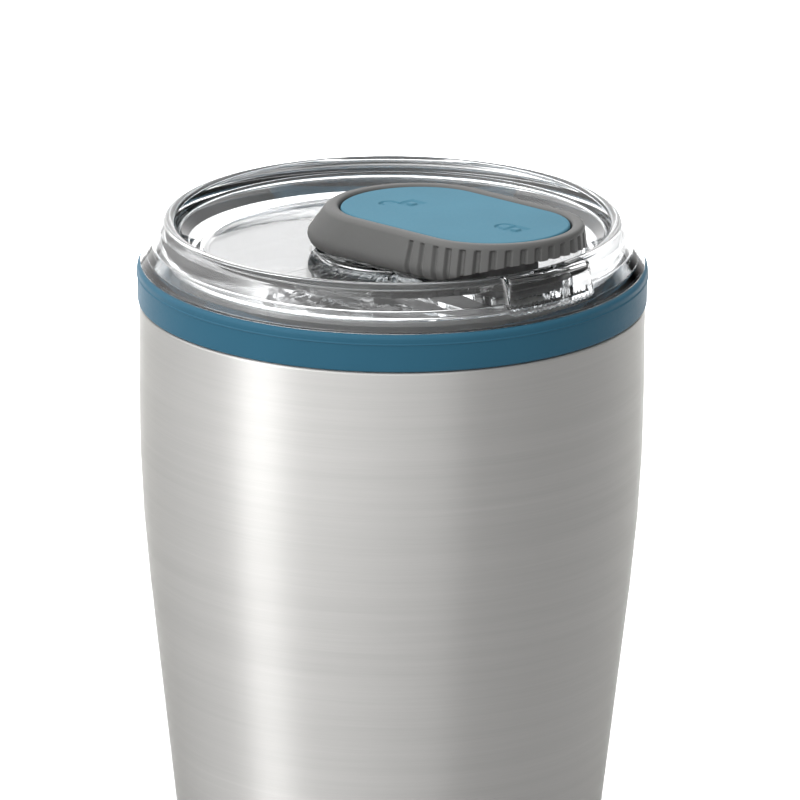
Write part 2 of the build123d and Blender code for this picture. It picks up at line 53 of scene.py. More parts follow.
TAPER_DEG = 6.5
TAPER = math.tan(math.radians(TAPER_DEG))
CORNER_Z = RIM - 33.0
TAPER_BLEND = 317.0
SHELL_T = 0.6
LINER_T = 0.5
VACUUM_GAP = 2.4
LIP_R = 42.9
LIP_Z = RIM + 2.9
HEM_T = 0.6                # hem of the liner over the top of the outer wall
SHOULDER = RIM - 0.15
FOOT_R = 24.0              # inside of the foot ring
FOOT_CORNER = 4.0
FOOT_RETURN_H = 3.2
LINER_FLOOR_Z = 13.0
CAP_Z = 2.0
CAP_RIB_H = 0.8

TURNS = 256                # steps around every turned piece
ARC_STEP_DEG = 9.0         # largest step around a rounded corner
FINE_ARC_STEP_DEG = 7.2
MERGE_DISTANCE = 1e-4
ON_AXIS = 1e-6

# The slider's top is a tilted plane; u runs along it towards the drinking side.
TILT = math.radians(3.0)
SLIDER_TOP_H = 18.25
SLIDE = Matrix((
    (1, 0, 0, 0),
    (0, math.cos(TILT), math.sin(TILT), 0),
    (0, -math.sin(TILT), math.cos(TILT), RIM + SLIDER_TOP_H),
    (0, 0, 0, 1),
))


# ---------------------------------------------------------------- mesh helpers
def smoothstep(low, high, value):
    """Smooth rise from 0 at low to 1 at high."""
    t = min(max((value - low) / (high - low), 0.0), 1.0)
    return t * t * (3 - 2 * t)


def rounded(corners, step_deg=ARC_STEP_DEG):
    """Outline through (radius, height, corner radius) points, each corner turned into an arc."""
    points = []
    count = len(corners)
    for i, (r, z, fillet) in enumerate(corners):
        here = Vector((r, z))
        if fillet <= 0:
            points.append(here)
            continue
        back = (Vector(corners[i - 1][:2]) - here).normalized()
        ahead = (Vector(corners[(i + 1) % count][:2]) - here).normalized()
        half = back.angle(ahead) / 2
        reach = fillet / math.tan(half)
        centre = here + (back + ahead).normalized() * (fillet / math.sin(half))
        start = here + back * reach - centre
        turn = math.pi - 2 * half
        sign = 1 if back.x * ahead.y - back.y * ahead.x < 0 else -1
        steps = max(3, math.ceil(math.degrees(turn) / step_deg))
        for k in range(steps + 1):
            angle = sign * turn * k / steps
            points.append(centre + Vector((
                start.x * math.cos(angle) - start.y * math.sin(angle),
                start.x * math.sin(angle) + start.y * math.cos(angle),
            )))
    return points


def new_piece(name, bm, sharp_deg=40.0):
    """Mesh object from a bmesh in millimetres."""
    bmesh.ops.remove_doubles(bm, verts=bm.verts, dist=MERGE_DISTANCE)
    bmesh.ops.recalc_face_normals(bm, faces=bm.faces)
    mesh = bpy.data.meshes.new(name)
    bm.to_mesh(mesh)
    bm.free()
    mesh.transform(Matrix.Scale(MM, 4))
    piece = bpy.data.objects.new(name, mesh)
    bpy.context.scene.collection.objects.link(piece)
    shade(piece, sharp_deg)
    return piece


def shade(piece, sharp_deg):
    """Smooth shading that keeps real edges crisp and flat faces flat."""
    for face in piece.data.polygons:
        face.use_smooth = True
    piece.data.set_sharp_from_angle(angle=math.radians(sharp_deg))
    normals = piece.modifiers.new("flat faces stay flat", "WEIGHTED_NORMAL")
    normals.keep_sharp = True


def lathe(name, corners, start_deg=0.0, sweep_deg=360.0, turns=TURNS, step_deg=ARC_STEP_DEG):
    """Turned piece from an outline; a part turn gets flat ends."""
    outline = rounded(corners, step_deg)
    bm = bmesh.new()
    whole = sweep_deg >= 360.0
    rings = []
    for k in range(turns if whole else turns + 1):
        angle = math.radians(start_deg + sweep_deg * k / turns)
        ring = [bm.verts.new((p.x * math.cos(angle), p.x * math.sin(angle), p.y)) for p in outline]
        rings.append(ring)
    count = len(outline)
    for k in range(turns):
        a, b = rings[k], rings[(k + 1) % len(rings)]
        for i in range(count):
            j = (i + 1) % count
            if outline[i].x < ON_AXIS and outline[j].x < ON_AXIS:
                continue
            if outline[i].x < ON_AXIS:
                bm.faces.new((a[i], a[j], b[j]))
            elif outline[j].x < ON_AXIS:
                bm.faces.new((a[i], a[j], b[i]))
            else:
                bm.faces.new((a[i], a[j], b[j], b[i]))
    if not whole:
        bm.faces.new(rings[0])
        bm.faces.new(rings[-1])
    return new_piece(name, bm)


def stack(name, rings, closed_ends=True, sharp_deg=40.0):
    """Skin over rings of points, with a flat cap on the first and last, or joined into a hoop."""
    bm = bmesh.new()
    verts = [[bm.verts.new(p) for p in ring] for ring in rings]
    count = len(rings[0])
    last = len(rings) - 1 if closed_ends else len(rings)
    for k in range(last):
        a, b = verts[k], verts[(k + 1) % len(rings)]
        for i in range(count):
            j = (i + 1) % count
            bm.faces.new((a[i], a[j], b[j], b[i]))
    if closed_ends:
        bm.faces.new(verts[0])
        bm.faces.new(verts[-1])
    return new_piece(name, bm, sharp_deg)


def cut(piece, tool, operation="DIFFERENCE"):
    """Boolean on a piece; the tool is used up."""
    piece.modifiers.clear()
    step = piece.modifiers.new("cut", "BOOLEAN")
    step.object = tool
    step.operation = operation
    step.solver = "EXACT"
    graph = bpy.context.evaluated_depsgraph_get()
    mesh = bpy.data.meshes.new_from_object(piece.evaluated_get(graph))
    piece.modifiers.clear()
    old = piece.data
    piece.data = mesh
    mesh.name = piece.name
    bpy.data.meshes.remove(old)
    bpy.data.objects.remove(tool)


def on_slide(x, u, depth):
    """Point on the slider's tilted plane: x across, u towards the drinking side, depth below its top."""
    return SLIDE @ Vector((x, -u, -depth))


# ---------------------------------------------------------------- material helpers
class Nodes:
    """Short way to build one node material."""

    def __init__(self, name):
        self.material = bpy.data.materials.new(name)
        self.material.use_nodes = True
        self.tree = self.material.node_tree
        self.shader = self.tree.nodes["Principled BSDF"]

    def add(self, kind, **settings):
        node = self.tree.nodes.new(kind)
        for key, value in settings.items():
            setattr(node, key, value)
        return node

    def link(self, source, target):
        self.tree.links.new(source, target)

    def set(self, **values):
        """Uniform values, straight on the shader's own sockets."""
        for key, value in values.items():
            self.shader.inputs[key.replace("_", " ")].default_value = value

    def coords(self, scale=(1, 1, 1)):
        """Object coordinates in metres, stretched by scale."""
        place = self.add("ShaderNodeTexCoord")
        mapping = self.add("ShaderNodeMapping")
        mapping.inputs["Scale"].default_value = scale
        self.link(place.outputs["Object"], mapping.inputs["Vector"])
        return mapping.outputs["Vector"]

    def noise(self, scale, vector, detail=2.0, rough=0.5):
        node = self.add("ShaderNodeTexNoise")
        node.inputs["Scale"].default_value = scale
        node.inputs["Detail"].default_value = detail
        node.inputs["Roughness"].default_value = rough
        self.link(vector, node.inputs["Vector"])
        return node.outputs["Fac"]

    def ramp(self, value, stops):
        """Colour ramp through (place, colour) stops."""
        node = self.add("ShaderNodeValToRGB")
        ramp = node.color_ramp
        while len(ramp.elements) < len(stops):
            ramp.elements.new(0.5)
        for element, (place, color) in zip(ramp.elements, stops):
            element.position = place
            element.color = (*color, 1)
        self.link(value, node.inputs["Fac"])
        return node.outputs["Color"]

    def spread(self, value, low, high):
        """A 0 to 1 value spread between low and high."""
        node = self.add("ShaderNodeMapRange")
        node.inputs["To Min"].default_value = low
        node.inputs["To Max"].default_value = high
        self.link(value, node.inputs["Value"])
        return node.outputs["Result"]

    def bump(self, height, strength, distance):
        """Fine surface relief, with its depth in metres."""
        node = self.add("ShaderNodeBump")
        node.inputs["Strength"].default_value = strength
        node.inputs["Distance"].default_value = distance
        self.link(height, node.inputs["Height"])
        self.link(node.outputs["Normal"], self.shader.inputs["Normal"])

    def tone(self, value, base, change):
        """Base colour that drifts a little darker and lighter with a 0 to 1 value."""
        dark = tuple(c * (1 - change) for c in base)
        light = tuple(c * (1 + change) for c in base)
        self.link(self.ramp(value, [(0.3, dark), (0.7, light)]), self.shader.inputs["Base Color"])


def brushed_steel(name, base, roughness, grain, anisotropy):
    """Steel brushed around its axis: fine rings of scratches over slow tonal drift."""
    m = Nodes(name)
    m.set(
        Metallic=1.0,
        Anisotropic=anisotropy,
        Anisotropic_Rotation=0.25,
        Specular_Tint=(0.45, 0.45, 0.44, 1),
    )
    fine = m.noise(1.0, m.coords((60, 60, 9000)), 4.0, 0.65)
    broad = m.noise(1.0, m.coords((12, 12, 700)), 3.0, 0.55)
    slow = m.noise(9.0, m.coords())
    mix = m.add("ShaderNodeMath", operation="ADD")
    m.link(fine, mix.inputs[0])
    m.link(broad, mix.inputs[1])
    half = m.add("ShaderNodeMath", operation="MULTIPLY")
    half.inputs[1].default_value = 0.5
    m.link(mix.outputs[0], half.inputs[0])
    m.tone(half.outputs[0], base, grain)
    m.link(m.spread(slow, roughness - 0.03, roughness + 0.03), m.shader.inputs["Roughness"])
    m.bump(fine, 0.12, 0.00002)
    tangent = m.add("ShaderNodeTangent", direction_type="RADIAL", axis="Z")
    m.link(tangent.outputs[0], m.shader.inputs["Tangent"])
    return m.material


def clear_plastic():
    """Glossy clear plastic with very faint haze."""
    m = Nodes("clear_plastic")
    m.set(Transmission_Weight=1.0, IOR=1.53, Base_Color=(0.97, 0.98, 0.985, 1))
    haze = m.noise(260.0, m.coords())
    m.link(m.spread(haze, 0.02, 0.045), m.shader.inputs["Roughness"])
    return m.material


def silicone(name, base, low, high, grain_scale, bump, specular=0.06):
    """Soft moulded rubber: fine matt grain, slight tonal drift, hardly any shine."""
    m = Nodes(name)
    m.set(Sheen_Weight=0.02, Sheen_Roughness=0.5, Specular_IOR_Level=specular)
    m.tone(m.noise(35.0, m.coords(), 3.0), base, 0.07)
    grain = m.noise(grain_scale, m.coords(), 3.0)
    m.link(m.spread(grain, low, high), m.shader.inputs["Roughness"])
    m.bump(grain, bump, 0.00004)
    return m.material


def moulded(name, base, low, high):
    """Spark-textured hard plastic."""
    m = Nodes(name)
    m.set(Specular_IOR_Level=0.3)
    m.tone(m.noise(28.0, m.coords()), base, 0.05)
    grain = m.noise(2600.0, m.coords(), 3.0, 0.6)
    m.link(m.spread(grain, low, high), m.shader.inputs["Roughness"])
    m.bump(grain, 0.2, 0.00005)
    return m.material


def dress(piece, material, body, slot, *nodes):
    """Give a finished piece its material and its body, and hide the CAD nodes it stands for. The slot is
    not used.
    """
    piece.data.materials.clear()
    piece.data.materials.append(material)
    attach(piece, body)
    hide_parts(*nodes)


def repaint(node, material):
    """Better finish on a CAD node that stays."""
    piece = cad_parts[node]
    piece.data.materials.clear()
    piece.data.materials.append(material)
    for face in piece.data.polygons:
        face.material_index = 0


# ---------------------------------------------------------------- camera
LOOK_AZIMUTH = math.radians(-41.5)
LOOK_DOWN = math.radians(17.15)
LOOK_ROLL = math.radians(0.4)
LOOK_DISTANCE = 2.5
FIELD_WIDTH = 139.9 * MM          # width of the view at the tumbler's axis
AIM_BELOW_RIM = 18.56 * MM
AIM_RIGHT = 1.46 * MM
SENSOR_WIDTH = 36.0


def place_camera():
    """Camera at the photograph's angle, aimed just below the rim."""
    right = Vector((math.cos(LOOK_AZIMUTH), math.sin(LOOK_AZIMUTH), 0))
    towards = Vector((
        math.sin(LOOK_AZIMUTH) * math.cos(LOOK_DOWN),
        -math.cos(LOOK_AZIMUTH) * math.cos(LOOK_DOWN),
        math.sin(LOOK_DOWN),
    ))
    aim = Vector((0, 0, RIM * MM - AIM_BELOW_RIM)) + right * AIM_RIGHT
    data = bpy.data.cameras.new("camera")
    data.sensor_width = SENSOR_WIDTH
    data.lens = SENSOR_WIDTH * LOOK_DISTANCE / FIELD_WIDTH
    data.clip_start = 0.05
    data.clip_end = 50
    camera = bpy.data.objects.new("camera", data)
    bpy.context.scene.collection.objects.link(camera)
    camera.location = aim + towards * LOOK_DISTANCE
    turn = towards.to_track_quat("Z", "Y").to_matrix().to_4x4()
    camera.matrix_world = (
        Matrix.Translation(camera.location) @ turn @ Matrix.Rotation(LOOK_ROLL, 4, "Z")
    )
    bpy.context.scene.camera = camera


# ---------------------------------------------------------------- light and floor
def aside(degrees, elevation_deg):
    """Direction that is so many degrees to the right of the photograph's viewing side."""
    azimuth = LOOK_AZIMUTH + math.radians(degrees)
    elevation = math.radians(elevation_deg)
    return Vector((
        math.sin(azimuth) * math.cos(elevation),
        -math.cos(azimuth) * math.cos(elevation),
        math.sin(elevation),
    ))


# Brightness of the room around the tumbler, by degrees to the right of the viewing side.
ROOM = (
    (-180, 2.00), (-162, 1.90), (-148, 1.00), (-125, 1.20), (-100, 1.90), (-85, 2.40),
    (-74, 4.00), (-66, 7.00), (-58, 7.00), (-50, 4.80), (-40, 3.30), (-25, 3.00),
    (0, 2.40), (20, 1.90), (28, 1.45), (36, 0.70), (60, 0.35), (100, 0.15),
    (130, 0.10), (150, 0.15), (165, 1.40), (180, 2.00),
)
CEILING = (0.6, 3.2)       # on the right and on the left
CEILING_RISE = (0.2, 0.65)  # sine of the elevation where walls turn into ceiling
CEILING_LEFT_DEG = -100
ROOM_LEVEL = 1.1

LAMP_BEHIND = 1.0          # the lamp behind the tumbler, in metres
LAMP_HEIGHT = 1.1
LAMP_AIM_BEHIND = 1.2
LAMP_SIZE = (1.4, 0.8)
LAMP_POWER = 100
LAMP_SPREAD_DEG = 100

FLOOR_RADIUS = 4.0
FLOOR_GAP = 0.0001         # keeps the foot ring and the floor from sharing a plane


def room_light():
    """Soft studio around the tumbler: a wall of varying brightness under a ceiling lit from the left."""
    world = bpy.data.worlds.new("studio")
    world.use_nodes = True
    tree = world.node_tree
    place = tree.nodes.new("ShaderNodeTexCoord")

    def math_node(operation, *inputs):
        node = tree.nodes.new("ShaderNodeMath")
        node.operation = operation
        for socket, value in zip(node.inputs, inputs):
            if isinstance(value, (int, float)):
                socket.default_value = value
            else:
                tree.links.new(value, socket)
        return node.outputs[0]

    def along(direction):
        node = tree.nodes.new("ShaderNodeVectorMath")
        node.operation = "DOT_PRODUCT"
        tree.links.new(place.outputs["Generated"], node.inputs[0])
        node.inputs[1].default_value = direction
        return node.outputs["Value"]

    turn = math_node("ARCTAN2", along(aside(90, 0)), along(aside(0, 0)))
    share = math_node("MULTIPLY_ADD", turn, 0.5 / math.pi, 0.5)
    ramp = tree.nodes.new("ShaderNodeValToRGB")
    ramp.color_ramp.interpolation = "CARDINAL"
    elements = ramp.color_ramp.elements
    while len(elements) < len(ROOM):
        elements.new(0.5)
    brightest = max(level for _, level in ROOM)
    for element, (degrees, level) in zip(elements, ROOM):
        element.position = (degrees + 180) / 360
        element.color = (*(level / brightest,) * 3, 1)
    tree.links.new(share, ramp.inputs["Fac"])
    rise = tree.nodes.new("ShaderNodeMapRange")
    rise.interpolation_type = "SMOOTHSTEP"
    rise.inputs["From Min"].default_value, rise.inputs["From Max"].default_value = CEILING_RISE
    tree.links.new(along((0, 0, 1)), rise.inputs["Value"])
    mix = tree.nodes.new("ShaderNodeMix")
    mix.data_type = "RGBA"
    tree.links.new(rise.outputs["Result"], mix.inputs["Factor"])
    tree.links.new(ramp.outputs["Color"], mix.inputs["A"])
    left = math_node("MULTIPLY_ADD", along(aside(CEILING_LEFT_DEG, 0)), 0.5, 0.5)
    high = tree.nodes.new("ShaderNodeMapRange")
    high.inputs["To Min"].default_value = CEILING[0] / brightest
    high.inputs["To Max"].default_value = CEILING[1] / brightest
    tree.links.new(left, high.inputs["Value"])
    tree.links.new(high.outputs["Result"], mix.inputs["B"])
    background = tree.nodes["Background"]
    tree.links.new(mix.outputs["Result"], background.inputs["Color"])
    background.inputs["Strength"].default_value = brightest * ROOM_LEVEL
    bpy.context.scene.world = world


def background_lamp():
    """Rectangular lamp behind the tumbler that whitens the floor; no gloss or clear part shows it."""
    data = bpy.data.lights.new("background lamp", "AREA")
    data.shape = "RECTANGLE"
    data.size, data.size_y = LAMP_SIZE
    data.energy = LAMP_POWER
    data.spread = math.radians(LAMP_SPREAD_DEG)
    light = bpy.data.objects.new("background lamp", data)
    light.visible_glossy = False
    light.visible_transmission = False
    bpy.context.scene.collection.objects.link(light)
    place = aside(180, 0) * LAMP_BEHIND + Vector((0, 0, LAMP_HEIGHT))
    aim = aside(180, 0) * LAMP_AIM_BEHIND
    turn = (place - aim).to_track_quat("Z", "Y").to_matrix().to_4x4()
    light.matrix_world = Matrix.Translation(place) @ turn


def studio():
    """Lights, the pale floor and the render's light paths."""
    room_light()
    background_lamp()
    bm = bmesh.new()
    bmesh.ops.create_circle(bm, cap_ends=True, segments=128, radius=FLOOR_RADIUS)
    mesh = bpy.data.meshes.new("floor")
    bm.to_mesh(mesh)
    bm.free()
    floor = bpy.data.objects.new("floor", mesh)
    floor.location.z = -FLOOR_GAP
    bpy.context.scene.collection.objects.link(floor)
    m = Nodes("pale_floor")
    m.set(Specular_IOR_Level=0.1, Roughness=0.8)
    pale = m.ramp(m.noise(6.0, m.coords()), [(0.3, (0.37, 0.37, 0.37)), (0.7, (0.39, 0.39, 0.39))])
    m.link(pale, m.shader.inputs["Base Color"])
    floor.data.materials.append(m.material)
    scene = bpy.context.scene
    scene.view_settings.view_transform = "Standard"
    scene.cycles.max_bounces = 32          # light crosses many faces of the clear lid
    scene.cycles.glossy_bounces = 16
    scene.cycles.transmission_bounces = 32


# ---------------------------------------------------------------- vessel
def wall_r(z, inset=0.0):
    """Radius of the tapered outer wall at a height, moved inwards by inset."""
    return BODY_R - inset / math.cos(math.radians(TAPER_DEG)) - (CORNER_Z - z) * TAPER


def make_outer_shell():
    """Outer wall: foot ring, taper, straight wall, shoulder and lip, then back down the inside."""
    t = SHELL_T
    return lathe("steel_body", [
        (FOOT_R, 0, 0.3),
        (wall_r(0), 0, FOOT_CORNER),
        (BODY_R, CORNER_Z, TAPER_BLEND),
        (BODY_R, SHOULDER, 0.5),
        (LIP_R, SHOULDER, 0.2),
        (LIP_R, LIP_Z - HEM_T, 0),
        (LIP_R - t, LIP_Z - HEM_T, 0),
        (LIP_R - t, SHOULDER - t, 0.5),
        (BODY_R - t, SHOULDER - t, 0.3),
        (BODY_R - t, CORNER_Z, TAPER_BLEND - t),
        (wall_r(0, t) + t * TAPER, t, FOOT_CORNER - t),
        (FOOT_R + t, t, 0.3),
        (FOOT_R + t, FOOT_RETURN_H, 0),
        (FOOT_R, FOOT_RETURN_H, 0),
    ], step_deg=FINE_ARC_STEP_DEG)


def make_inner_liner():
    """Inner cup: the side towards the vacuum, the hem over the lip, then the side towards the drink."""
    outer = SHELL_T + VACUUM_GAP
    inner = outer + LINER_T
    floor_z = LINER_FLOOR_Z
    mouth = LIP_R - SHELL_T - LINER_T
    return lathe("steel_liner", [
        (0, floor_z - LINER_T, 0),
        (wall_r(floor_z, outer), floor_z - LINER_T, 8.5),
        (BODY_R - outer, CORNER_Z, TAPER_BLEND - outer),
        (BODY_R - outer, RIM - 4.0, 1.0),
        (mouth + LINER_T, RIM - 1.6, 1.0),
        (mouth + LINER_T, LIP_Z - HEM_T, 0),
        (LIP_R, LIP_Z - HEM_T, 0),
        (LIP_R, LIP_Z, 0.35),
        (mouth, LIP_Z, 0.35),
        (mouth, RIM - 1.4, 1.0),
        (BODY_R - inner, RIM - 3.8, 1.0),
        (BODY_R - inner, CORNER_Z, TAPER_BLEND - inner),
        (wall_r(floor_z, inner), floor_z, 8.0),
        (0, floor_z, 0),
    ], step_deg=FINE_ARC_STEP_DEG)


def make_base_cap():
    """Pressed disc in the foot ring, with one low round rib."""
    z = CAP_Z
    t = SHELL_T
    rib = z + CAP_RIB_H
    corner = 0.8
    return lathe("steel_base", [
        (0, z, 0),
        (14.0, z, corner),
        (15.5, rib, corner),
        (18.5, rib, corner),
        (20.0, z, corner),
        (FOOT_R, z, 0),
        (FOOT_R, z + t, 0),
        (20.3, z + t, corner),
        (18.8, rib + t, corner),
        (15.2, rib + t, corner),
        (13.7, z + t, corner),
        (0, z + t, 0),
    ])


# ---------------------------------------------------------------- lid
PLUG_R = 39.5              # clear plug that enters the vessel
PLUG_T = 1.5
PLUG_FOOT = RIM - 6.0
PLUG_BEAD_W = 0.6          # bead that keeps the soft ring on the plug
PLUG_BEAD_TOP = PLUG_FOOT + 0.8
SEAT = RIM + 4.4           # shoulder that the soft band sits on
BAND_TOP = RIM + 6.7
BAND_IN_R = 43.25
BAND_SPLIT = RIM + 5.0     # fine raised line where the two halves of the mould meet
LEDGE_R = 44.0             # thin clear ledge over the band
LEDGE_T = 0.25
CREST = RIM + 14.5
FLOOR = RIM + 9.3          # floor of the well
FLOOR_T = 1.8
SPOUT_HALF_DEG = 12.9
SPOUT_IN_R = 38.9
SPOUT_FOOT = RIM + 8.6
TRACK_REAR_U = -11.5
TRACK_STOP_U = 13.0
TRACK_FRONT_U = 33.5
TRACK_HALF_W = 7.5
SLOT_HALF_W = 6.2
TRAY_WALL = 1.3
TRACK_FLOOR_H = 12.0
TRACK_LIP_H = 10.3
TRAY_FOOT_H = 13.6
TRAY_TOP_H = 9.8
SLOT_TOP_H = 6.0
TRAY_CORNER = 4.5
TRACK_CORNER = 2.5
PORT_HALF_W = 4.2          # sipping port
PORT_REAR_U = 24.5
PORT_FRONT_U = 30.1
PORT_CORNER = 2.0
VENT_U = 4.5
VENT_R = 1.2
HUB_R = 14.6               # low round hub in the middle of the well
HUB_TOP = RIM + 10.1
SKIRT_FOOT = RIM + 3.6
SKIRT_T = 1.3


def track_ring(depth, half_w, rear_u, front_u, corner, steps=8):
    """Rounded rectangle across the track at one depth below the slider's top."""
    ring = []
    for sx, su, start in ((1, -1, 0), (-1, -1, 90), (-1, 1, 180), (1, 1, 270)):
        cx = sx * (half_w - corner)
        cu = front_u - corner if su > 0 else rear_u + corner
        for k in range(steps + 1):
            angle = math.radians(start + 90 * k / steps)
            ring.append(on_slide(cx + corner * math.cos(angle), cu - corner * math.sin(angle), depth))
    return ring


def block(name, low_depth, high_depth, half_w, rear_u, front_u, corner):
    """Solid between two depths with a rounded rectangular outline."""
    return stack(name, [
        track_ring(low_depth, half_w, rear_u, front_u, corner),
        track_ring(high_depth, half_w, rear_u, front_u, corner),
    ])


def make_lid():
    """Clear moulding: turned shell, spout block, hub and skirt, with the sunken track cut out."""
    lid = lathe("clear_lid", [
        (PLUG_R - PLUG_T, PLUG_FOOT, 0.3),
        (PLUG_R + PLUG_BEAD_W, PLUG_FOOT, 0.3),
        (PLUG_R + PLUG_BEAD_W, PLUG_BEAD_TOP, 0),
        (PLUG_R, PLUG_BEAD_TOP, 0),
        (PLUG_R, RIM + 10.6, 0.4),
        (40.35, RIM + 9.2, 0.5),
        (41.45, RIM + 7.1, 0.6),
        (41.45, SEAT, 0),
        (42.95, SEAT, 0),
        (42.95, BAND_TOP, 0),
        (LEDGE_R, BAND_TOP, 0.12),
        (LEDGE_R, BAND_TOP + LEDGE_T, 0.12),
        (41.92, RIM + 10.06, 0.6),
        (40.72, RIM + 12.8, 2.0),
        (39.6, CREST + 0.2, 1.0),
        (38.2, CREST - 0.2, 1.2),
        (37.1, RIM + 12.1, 1.5),
        (32.75, FLOOR, 3.0),
        (0, FLOOR, 0),
        (0, FLOOR - FLOOR_T, 0),
        (PLUG_R - PLUG_T, FLOOR - FLOOR_T, 1.0),
    ])
    spout = lathe("spout", [
        (SPOUT_IN_R, SPOUT_FOOT, 0),
        (42.8, SPOUT_FOOT, 0),
        (41.7, CREST, 1.0),
        (SPOUT_IN_R, CREST, 0),
    ], -90 - SPOUT_HALF_DEG, 2 * SPOUT_HALF_DEG, 24)
    cut(lid, spout, "UNION")
    inside_floor = FLOOR - 1.0
    cut(lid, lathe("hub", [
        (0, inside_floor, 0),
        (HUB_R, inside_floor, 0),
        (HUB_R, FLOOR - 0.2, 0),
        (HUB_R - 1.3, HUB_TOP, 0.4),
        (0, HUB_TOP, 0),
    ]), "UNION")
    cut(lid, lathe("skirt", [
        (HUB_R - 0.7 - SKIRT_T, SKIRT_FOOT, 0.3),
        (HUB_R - 0.7, SKIRT_FOOT, 0.3),
        (HUB_R, inside_floor, 0),
        (HUB_R - SKIRT_T, inside_floor, 0),
    ]), "UNION")
    cut(lid, block("tray", TRAY_FOOT_H, TRAY_TOP_H, TRACK_HALF_W + TRAY_WALL,
                   TRACK_REAR_U - TRAY_WALL, TRACK_FRONT_U + TRAY_WALL, TRAY_CORNER), "UNION")
    below, above = TRAY_FOOT_H + 1.0, TRACK_FLOOR_H - 1.0      # cuts run past the track's floor
    for low, high, half_w, rear, front, corner in (
        (TRACK_FLOOR_H, TRACK_LIP_H, TRACK_HALF_W, TRACK_REAR_U, TRACK_STOP_U, TRACK_CORNER),
        (TRACK_FLOOR_H - 0.01, SLOT_TOP_H, SLOT_HALF_W, TRACK_REAR_U - 0.1, TRACK_FRONT_U, TRACK_CORNER),
        (below, above, PORT_HALF_W, PORT_REAR_U, PORT_FRONT_U, PORT_CORNER),
    ):
        cut(lid, block("space", low, high, half_w, rear, front, corner))
    vent = []
    for depth in (below, above):
        circle = [math.radians(angle) for angle in range(0, 360, 10)]
        vent.append([on_slide(VENT_R * math.cos(a), VENT_U + VENT_R * math.sin(a), depth) for a in circle])
    cut(lid, stack("vent", vent))
    shade(lid, 32.0)
    return lid


def make_gasket():
    """Blue soft ring: outer band, web over the lip, and a sleeve on the plug with two sealing lips."""
    sleeve = PLUG_R + 0.45
    lip = sleeve + 0.4
    web = RIM + 3.2
    return lathe("soft_ring", [
        (BAND_IN_R, RIM, 0.15),
        (BAND_R - 0.25, RIM, 0.4),
        (BAND_R - 0.16, BAND_SPLIT - 0.14, 0),
        (BAND_R, BAND_SPLIT - 0.03, 0),
        (BAND_R, BAND_SPLIT + 0.03, 0),
        (BAND_R - 0.14, BAND_SPLIT + 0.2, 0),
        (BAND_R - 0.1, BAND_TOP, 0.9),
        (43.0, BAND_TOP, 0),
        (43.0, SEAT, 0),
        (PLUG_R, SEAT, 0),
        (PLUG_R, PLUG_BEAD_TOP, 0),
        (sleeve, PLUG_BEAD_TOP, 0),
        (sleeve, RIM - 4.6, 0),
        (lip, RIM - 4.2, 0.1),
        (sleeve, RIM - 3.6, 0),
        (sleeve, RIM - 1.9, 0),
        (lip, RIM - 1.5, 0.1),
        (sleeve, RIM - 0.9, 0),
        (sleeve, web, 0.4),
        (BAND_IN_R, web, 0.3),
    ])


# ---------------------------------------------------------------- slider
OPENING_REAR_U = 6.1       # oval opening that holds the soft pad
OPENING_FRONT_U = 26.4
OPENING_HALF_W = 12.9
OPENING_END = 14.2
LIP_W = 2.2                # top lip of the grip
LIP_EDGE_R = 0.75
LIP_INNER_R = 0.7
GRIP_H = 7.3
GRIP_WIDEST_H = 5.2
FOOT_INSET = 1.1           # the foot rounds in below the widest place
GRIP_HALF_W = 16.0
GRIP_REAR_U = 2.3
GRIP_REAR_END = 17.4
GRIP_FRONT_END = 16.2
NOSE_FOOT = ((27.0, 12.2), (39.5, 16.4), (43.5, 17.2))  # raised foot of the nose: u, height above the rim
RIB_STEP_DEG = 9.8         # grooves around the nose, with a rib at its tip
RIB_COUNT_NOSE = 9
RIB_NOSE_R = 16.25
RIB_START_SIDE = 1.6
RIB_PITCH_SIDE = 3.3
RIB_COUNT_SIDE = 2
RIB_DEPTH = 0.65
RIB_HALF_W = (0.15, 0.8)   # a groove's floor and its edge, from its middle
RIB_TOP_H = (0.85, 1.3)    # a groove runs out between these depths
PLAIN = 9.0                # far from any groove

PAD_TOP_H = 0.2
PAD_FOOT_H = 2.2
PAD_EDGE_R = 0.4
PAD_SIDE_GAP = 0.04
PAD_END_GAP = 0.55
MARK_X = 0.4               # padlock marks
OPEN_MARK_U = 4.5
OPEN_SHACKLE_X = -2.8
CLOSED_MARK_U = 31.6
MARK_HALF_W = 1.75
MARK_HALF_L = 1.85
MARK_DEPTH = 0.3
KEY_HALF_W = 0.62
KEY_HALF_L = 0.72
SHACKLE_R = 1.35
SHACKLE_LINE = 0.8
SHACKLE_DEPTH = 0.28


def oval_places():
    """Places around the oval: (stretch, share of it); stretches are right, rear, left and front."""
    counts = (150, 96, 150, 760)       # the front carries the grooves, so it is finest
    return [(stretch, k / n) for stretch, n in enumerate(counts) for k in range(n)]


PLACES = oval_places()


def oval(place, half_w, rear_u, rear_end, front_u, front_end):
    """(x, u) on an oval with straight sides and elliptical ends."""
    stretch, share = place
    if stretch == 0:
        return half_w, front_u + (rear_u - front_u) * share
    if stretch == 2:
        return -half_w, rear_u + (front_u - rear_u) * share
    angle = math.pi * share
    if stretch == 1:
        return half_w * math.cos(angle), rear_u - rear_end * math.sin(angle)
    return -half_w * math.cos(angle), front_u + front_end * math.sin(angle)


def opening_point(place, inset, end_gap=0.0):
    """Point of the oval opening, grown inwards by inset and by an extra gap at its ends."""
    end = OPENING_END - inset - end_gap
    return oval(place, OPENING_HALF_W - inset, OPENING_REAR_U, end, OPENING_FRONT_U, end)


